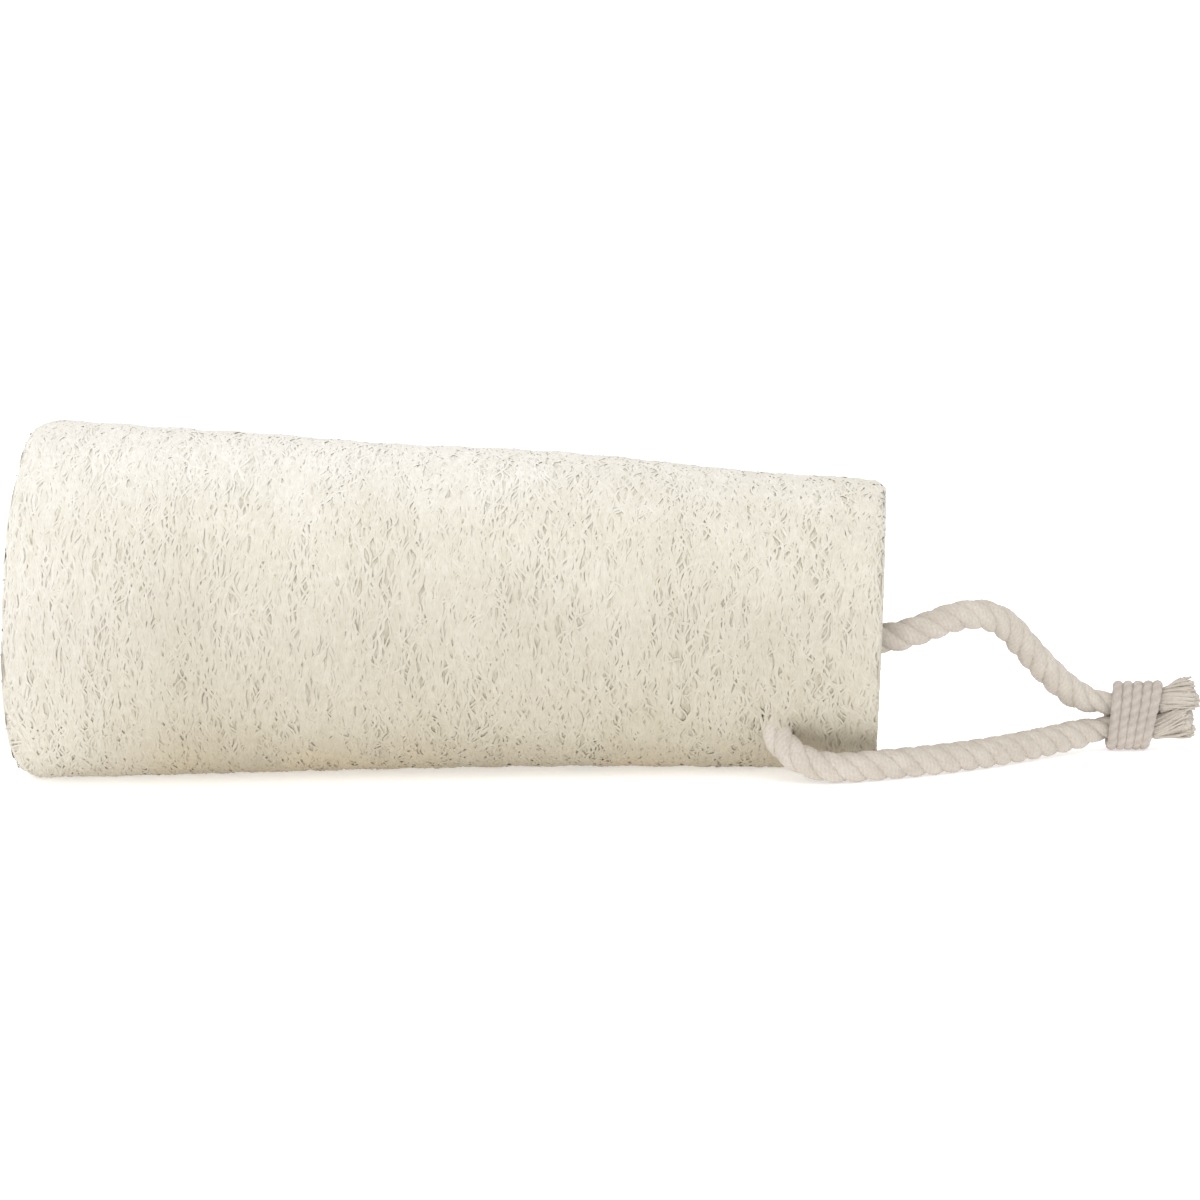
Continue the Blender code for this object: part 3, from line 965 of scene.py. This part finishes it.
def build_mat(material, solid, surface):
    """The felted body: the solid made finer, its net evened out and its skin roughened a little."""
    obj = made_finer(solid, "loofah_mat")
    mesh = obj.data
    points = read_vertices(mesh, "co")
    normals = read_vertices(mesh, "normal")
    x, angle, radius = body_places(points)
    streaks = Ripples(3, 1.6 * MM, 22)
    wrapped = np.stack([x, angle * 0.028 * 0.3, radius], axis=1)
    rough = streaks(wrapped)
    broad = Ripples(4, 5.0 * MM)(points)
    lift = surface.read(surface.lift, x, angle)
    outside = radius > surface.at(x, angle) - lift - BASE_SKIN
    on_back = smooth_step((points[:, 2] - BACK_HEIGHT) / BACK_BLEND)
    depth = np.where(outside, mix(BASE_DEPTH_LOW, BASE_DEPTH_ON_BACK, on_back), BASE_DEPTH_INSIDE)
    moved = points + normals * (0.03 * MM * rough + 0.02 * MM * broad - depth)[:, None]
    moved += outward_way(x, angle) * np.where(outside, lift, 0.0)[:, None]
    moved[:, 2] = np.maximum(moved[:, 2], 0.05 * MM)
    mesh.vertices.foreach_set("co", moved.astype(np.float32).reshape(-1))
    layer = mesh.attributes.new("tone", 'FLOAT', 'POINT')
    layer.data.foreach_set("value", np.clip(0.45 + 0.25 * rough, 0.0, 1.0).astype(np.float32))
    mesh.update()
    mesh.shade_smooth()
    return finish_piece(obj, material, ("loofah_body",))


# The hooped fibres

def part_round_rope(points, path):
    """Near the side hole the fibres lie over the rope where it leaves, and part round it lower down."""
    near = path[np.linalg.norm(path - np.array(SIDE_HOLE), axis=1) < ROPE_NEAR_HOLE]
    flat = points.reshape(-1, 3)
    close = np.linalg.norm(flat - np.array(SIDE_HOLE), axis=1) < FIBRES_NEAR_HOLE
    some = flat[close]
    gaps = some[:, None, :] - near[None, ::2, :]
    apart = np.linalg.norm(gaps, axis=2)
    nearest = apart.argmin(axis=1)
    rows = np.arange(len(some))
    gap, apart = gaps[rows, nearest], apart[rows, nearest]
    wanted = 0.5 * ROPE_DIAMETER + PARTING_CLEARANCE
    parted = some + unit(gap) * np.clip(wanted - apart, 0.0, None)[:, None]
    way = unit(np.stack([np.zeros(len(some)), some[:, 1], some[:, 2] - axis_height(some[:, 0])], axis=1))
    along = (gap * way).sum(axis=1)
    reach = 0.5 * ROPE_DIAMETER + DRAPE_CLEARANCE
    lift = np.sqrt(np.clip(along ** 2 - apart ** 2 + reach ** 2, 0.0, None)) - along
    draped = some + way * np.where(apart < reach, np.clip(lift, 0.0, DRAPE_LIFT_MOST), 0.0)[:, None]
    share = smooth_step((some[:, 2] - DRAPE_LOW) / (DRAPE_HIGH - DRAPE_LOW))[:, None]
    flat[close] = mix(parted, draped, share)
    return flat.reshape(points.shape)


def hoop_fibres(layer, draw, surface):
    """Fibres that wander round the outside, rising and sinking as they pass over one another."""
    count, steps, step = layer.count, layer.steps, layer.step
    number = np.arange(count) + draw.uniform(0.0, 0.8, count)
    first_x, last_x = LARGE_END_X + HOOP_START_FROM_END, SMALL_END_X - HOOP_START_FROM_END
    x = mix(first_x, last_x, (number * SPREAD_ALONG) % 1.0)
    angle = FULL_TURN * ((number * SPREAD_AROUND) % 1.0)
    heading = draw.normal(0.0, layer.tilt, count)
    sense = draw.choice([-1.0, 1.0], count)
    wave_length = draw.uniform(3.6, 8.5, count) * MM
    wave_start = draw.uniform(0.0, FULL_TURN, count)
    weave_length = draw.uniform(3.0, 6.5, count) * MM
    weave_start = draw.uniform(0.0, FULL_TURN, count)
    drift = Ripples(layer.seed + 1000, 16.0 * MM)
    lowest, highest = LARGE_END_X + HOOP_FROM_END, SMALL_END_X - HOOP_FROM_END
    xs = np.zeros((count, steps))
    angles = np.zeros((count, steps))
    for i in range(steps):
        xs[:, i] = x
        angles[:, i] = angle
        place = np.stack([x, HOOP_DRIFT_RADIUS * np.cos(angle), HOOP_DRIFT_RADIUS * np.sin(angle)], axis=1)
        turn = heading + layer.wave * np.sin(FULL_TURN * (i * step) / wave_length + wave_start)
        turn = turn + HOOP_DRIFT * drift(place)
        x = x + np.sin(turn) * step
        heading = np.where((x < lowest) | (x > highest), -heading, heading)
        x = np.clip(x, lowest, highest)
        angle = angle + sense * np.cos(turn) * step / HOOP_TURN_RADIUS
    travelled = np.arange(steps)[None, :] * step
    weave = np.sin(FULL_TURN * travelled / weave_length[:, None] + weave_start[:, None])
    from_tip = np.minimum(np.arange(steps), np.arange(steps)[::-1])[None, :] / 2.0
    proud = layer.level + layer.weave * weave - HOOP_END_SUNK * (1.0 - smooth_step(from_tip))
    return surface.place(xs, angles, proud)


def build_hoops(layer, material, surface, path):
    """One layer of fibres that hoop the body."""
    draw = np.random.default_rng(layer.seed)
    points, away = hoop_fibres(layer, draw, surface)
    points = part_round_rope(points, path)
    widths = layer.half_width * draw.uniform(0.75, 1.25, (layer.count, 1))
    widths = widths * draw.uniform(0.9, 1.1, (layer.count, layer.steps))
    widths[:, 0] *= HOOP_END_WIDTH
    widths[:, -1] *= HOOP_END_WIDTH
    points[..., 2] = np.maximum(points[..., 2], widths + 0.02 * MM)
    laid, quads = fibre_arrays(points, away, widths)
    tone = np.repeat(draw.uniform(0.0, 1.0, layer.count), 3 * layer.steps)
    return finish_piece(mesh_object(layer.name, laid, quads, tone), material)


# The seed channels

def solid_axis_height(x):
    """The height of the solid's own middle line at an end, which places its channels."""
    taper = mix(LARGE_END_RADIUS, SMALL_END_RADIUS, share_along(x))
    arch = math.cos(math.pi * (x - ARCH_CENTRE_X) / ARCH_SPAN) ** 2
    return taper - 0.5 * MM * arch - 0.7 * MM + 1.4 * MM * arch


def channel_centre(index, x):
    """Where a channel's middle line is, across and up."""
    angle = CHANNEL_ANGLES[index]
    ends = []
    for end_x, offset in (
        (LARGE_END_X, CHANNEL_OFFSET_LARGE_END),
        (SMALL_END_X, CHANNEL_OFFSET_SMALL_END),
    ):
        ends.append((-offset * math.cos(angle), solid_axis_height(end_x) + offset * math.sin(angle)))
    share = share_along(x)
    return mix(ends[0][0], ends[1][0], share), mix(ends[0][1], ends[1][1], share)


def channel_radius(index, x):
    return CHANNEL_SIZES[index] * mix(CHANNEL_RADIUS_LARGE_END, CHANNEL_RADIUS_SMALL_END, share_along(x))


def lining_fibres(draw, index, end, way):
    """Fibres that line one channel from one of its mouths inwards, and the ways out of its wall."""
    count, reach = CHANNEL_FIBRES, CHANNEL_FIBRE_REACH
    start = draw.uniform(-0.1, 0.55, count) * reach
    length = draw.uniform(0.4, 0.75, count) * reach
    angle = draw.uniform(0.0, FULL_TURN, count)
    swing = draw.normal(0.0, 0.10, count)
    phase = draw.uniform(0.0, FULL_TURN, count)[:, None]
    t = np.linspace(0.0, 1.0, CHANNEL_FIBRE_STEPS)[None, :]
    travelled = np.maximum(start[:, None] + length[:, None] * t, CHANNEL_FIBRE_FROM_MOUTH)
    x = end + way * travelled
    around = angle[:, None] + swing[:, None] * np.sin(5.0 * t + phase) + 0.25 * swing[:, None] * t
    y, z = channel_centre(index, x)
    inset = 0.10 * MM + 0.22 * MM * np.sin(9.0 * t + 2.0 * phase)
    radius = channel_radius(index, x) - inset
    up = z + radius * np.sin(around) - axis_height(x)
    points = np.stack([x + lean_at(x) * up, y - radius * np.cos(around), axis_height(x) + up], axis=-1)
    return points, np.stack([np.zeros_like(x), np.cos(around), -np.sin(around)], axis=-1)


def build_channel_fibres(material):
    """Lengthwise fibres that line the seed channels, near both mouths."""
    draw = np.random.default_rng(31)
    made = [
        lining_fibres(draw, index, end, way)
        for index in range(len(CHANNEL_ANGLES))
        for end, way in ((LARGE_END_X, 1.0), (SMALL_END_X, -1.0))
    ]
    lines = np.concatenate([points for points, _ in made])
    aways = np.concatenate([away for _, away in made])
    radii = CHANNEL_FIBRE_RADIUS * draw.uniform(0.6, 1.3, (len(lines), 1))
    radii = radii * np.ones((1, CHANNEL_FIBRE_STEPS))
    obj = tube_object("channel_fibres", lines, aways, radii, 4, draw.uniform(0.0, 1.0, len(lines)))
    return finish_piece(obj, material)


# The cut faces

class CutFace:
    """One cut end: where it is, which way it looks, how far it reaches and its channel mouths."""

    def __init__(self, end_x, way, surface):
        self.x = end_x
        self.way = way
        self.height = axis_height(end_x)
        self.surface = surface
        self.mouths = [
            (*channel_centre(index, end_x), channel_radius(index, end_x))
            for index in range(len(CHANNEL_ANGLES))
        ]

    def limit(self, angle):
        """How far from the axis the face reaches at an angle, just inside its softened rim."""
        inward = np.full_like(angle, self.x - self.way * FACE_RIM_DEPTH)
        return self.surface.at(inward, angle) - FACE_RIM_MARGIN

    def scattered(self, draw, count):
        """Points scattered evenly over the face, across and up."""
        angle = draw.uniform(0.0, FULL_TURN, count)
        radius = self.limit(angle) * np.sqrt(draw.uniform(0.0, 1.0, count))
        return -radius * np.cos(angle), self.height + radius * np.sin(angle)

    def clear_of_channels(self, y, z, margin):
        clear = np.ones(y.shape, bool)
        for mouth_y, mouth_z, size in self.mouths:
            clear &= np.hypot(y - mouth_y, z - mouth_z) > size + margin
        return clear

    def from_rim(self, y, z):
        """How far inside the rim points are."""
        up = z - self.height
        return self.limit(np.arctan2(up, -y)) - np.hypot(y, up)

    def flow(self, y, z):
        """The way fibres run there: round the axis, and round a channel where one is near."""
        up = z - self.height
        total = np.stack([up, -y], axis=1) / np.maximum(np.hypot(y, up), 1e-6)[:, None]
        for mouth_y, mouth_z, size in self.mouths:
            dy, dz = y - mouth_y, z - mouth_z
            apart = np.hypot(dy, dz)
            pull = CHANNEL_PULL * np.exp(-np.maximum(apart - size, 0.0) / CHANNEL_PULL_REACH)
            ring = np.stack([dz, -dy], axis=1) / np.maximum(apart, 1e-6)[:, None]
            total = total + ring * pull[:, None]
        return unit(total)

    def points_at(self, offset, y, z):
        """Points of the leaning face, moved out of it by an offset along the body."""
        return np.stack([self.x + self.way * offset + lean_at(self.x) * (z - self.height), y, z], axis=-1)


def looped_fibres(face, seed, draw):
    """Fibres that loop over the face round its rim and its channels; returns points, faces and tones."""
    count, steps = FACE_LOOPS, FACE_LOOP_STEPS
    y, z = face.scattered(draw, count)
    sense = draw.choice([-1.0, 1.0], count)
    lean = draw.normal(0.0, 0.45, count)
    ripple = Ripples(seed + 5, 6.0 * MM)
    ys = np.zeros((count, steps))
    zs = np.zeros((count, steps))
    for i in range(steps):
        ys[:, i] = y
        zs[:, i] = z
        flow = face.flow(y, z)
        bend = lean + 0.5 * ripple(np.stack([y, z, np.full(count, seed * 0.01)], axis=1))
        y = y + sense * (flow[:, 0] * np.cos(bend) - flow[:, 1] * np.sin(bend)) * FACE_LOOP_STEP
        z = z + sense * (flow[:, 0] * np.sin(bend) + flow[:, 1] * np.cos(bend)) * FACE_LOOP_STEP
    inside = (face.from_rim(ys, zs) > -0.2 * MM) & face.clear_of_channels(ys, zs, 0.1 * MM)
    keep = inside.all(axis=1)
    ys, zs = ys[keep], zs[keep]
    phase = draw.uniform(0.0, FULL_TURN, (len(ys), 1))
    proud = FACE_LOOP_RISE * np.sin(np.arange(steps)[None, :] * 1.1 + phase) - 0.02 * MM
    proud = mix(-FACE_LOOP_SUNK_AT_RIM, proud, smooth_step(face.from_rim(ys, zs) / FACE_RIM_BLEND))
    points = face.points_at(proud, ys, zs)
    points[..., 2] = np.maximum(points[..., 2], 0.3 * MM)
    away = np.zeros_like(points)
    away[..., 0] = face.way
    widths = FACE_LOOP_HALF_WIDTH * draw.uniform(0.6, 1.4, (len(ys), 1)) * np.ones((1, steps))
    looped, quads = fibre_arrays(points, away, widths)
    return looped, quads, np.repeat(draw.uniform(0.0, 1.0, len(ys)), steps * 3)


def cut_stubs(face, draw):
    """Short cut stubs that stand out of the face; returns points, faces, ends and tones."""
    y, z = face.scattered(draw, FACE_STUBS)
    keep = face.clear_of_channels(y, z, STUB_FROM_CHANNEL)
    y, z = y[keep], z[keep]
    t = np.linspace(-0.8, 0.16, 3)[None, :] * MM * draw.uniform(0.5, 1.2, (len(y), 1))
    tilt = draw.normal(0.0, 0.35, (len(y), 2))
    points = np.stack([
        face.x + face.way * t + (lean_at(face.x) * (z - face.height))[:, None],
        y[:, None] + tilt[:, :1] * t,
        np.maximum(z[:, None] + tilt[:, 1:] * t, 0.4 * MM),
    ], axis=-1)
    away = np.zeros_like(points)
    away[..., 1] = -1.0
    radii = FACE_STUB_RADIUS * draw.uniform(0.6, 1.5, (len(y), 1)) * np.ones((1, 3))
    stubs, quads, ends = tube_arrays(points, away, radii, 3)
    return stubs, quads, ends, np.repeat(draw.uniform(0.0, 1.0, len(y)), 9)


def build_cut_face(name, material, seed, end_x, way, surface):
    """The cut face: fibres that loop round the rim and the channels, and short cut stubs."""
    draw = np.random.default_rng(seed)
    face = CutFace(end_x, way, surface)
    looped, loop_quads, loop_tones = looped_fibres(face, seed, draw)
    stubs, stub_quads, stub_ends, stub_tones = cut_stubs(face, draw)
    offset = len(looped)
    obj = mesh_object(
        name,
        np.vstack([looped, stubs]),
        np.vstack([loop_quads, stub_quads + offset]),
        np.concatenate([loop_tones, stub_tones]),
        (stub_ends[0] + offset, stub_ends[1] + offset),
    )
    return finish_piece(obj, material)


def build_cords():
    """The rope, its frayed tips and the binding; returns the rope's route."""
    cotton = cotton_material("cotton_rope", *ROPE_COLOURS)
    twine = cotton_material("cotton_twine", *TWINE_COLOURS)
    halves, path = build_rope(cotton)
    tips = build_tufts(cotton, path)
    binding = build_binding(twine)
    return path


def build_loofah(path):
    """The body: its felted base, the fibres that hoop it, its channels' lining and its cut faces."""
    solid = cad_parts["loofah_body"]
    surface = BodySurface(solid)
    fibre = loofah_material("loofah_fibre")
    build_mat(loofah_material("loofah_mat_fibre", streaked=True), solid, surface)
    for layer in HOOP_LAYERS:
        build_hoops(layer, fibre, surface, path)
    build_channel_fibres(fibre)
    build_cut_face("cut_face_large", fibre, 41, LARGE_END_X, -1.0, surface)
    build_cut_face("cut_face_small", fibre, 42, SMALL_END_X, 1.0, surface)


def main():
    add_camera()
    path = build_cords()
    add_light_and_floor()
    build_loofah(path)


main()
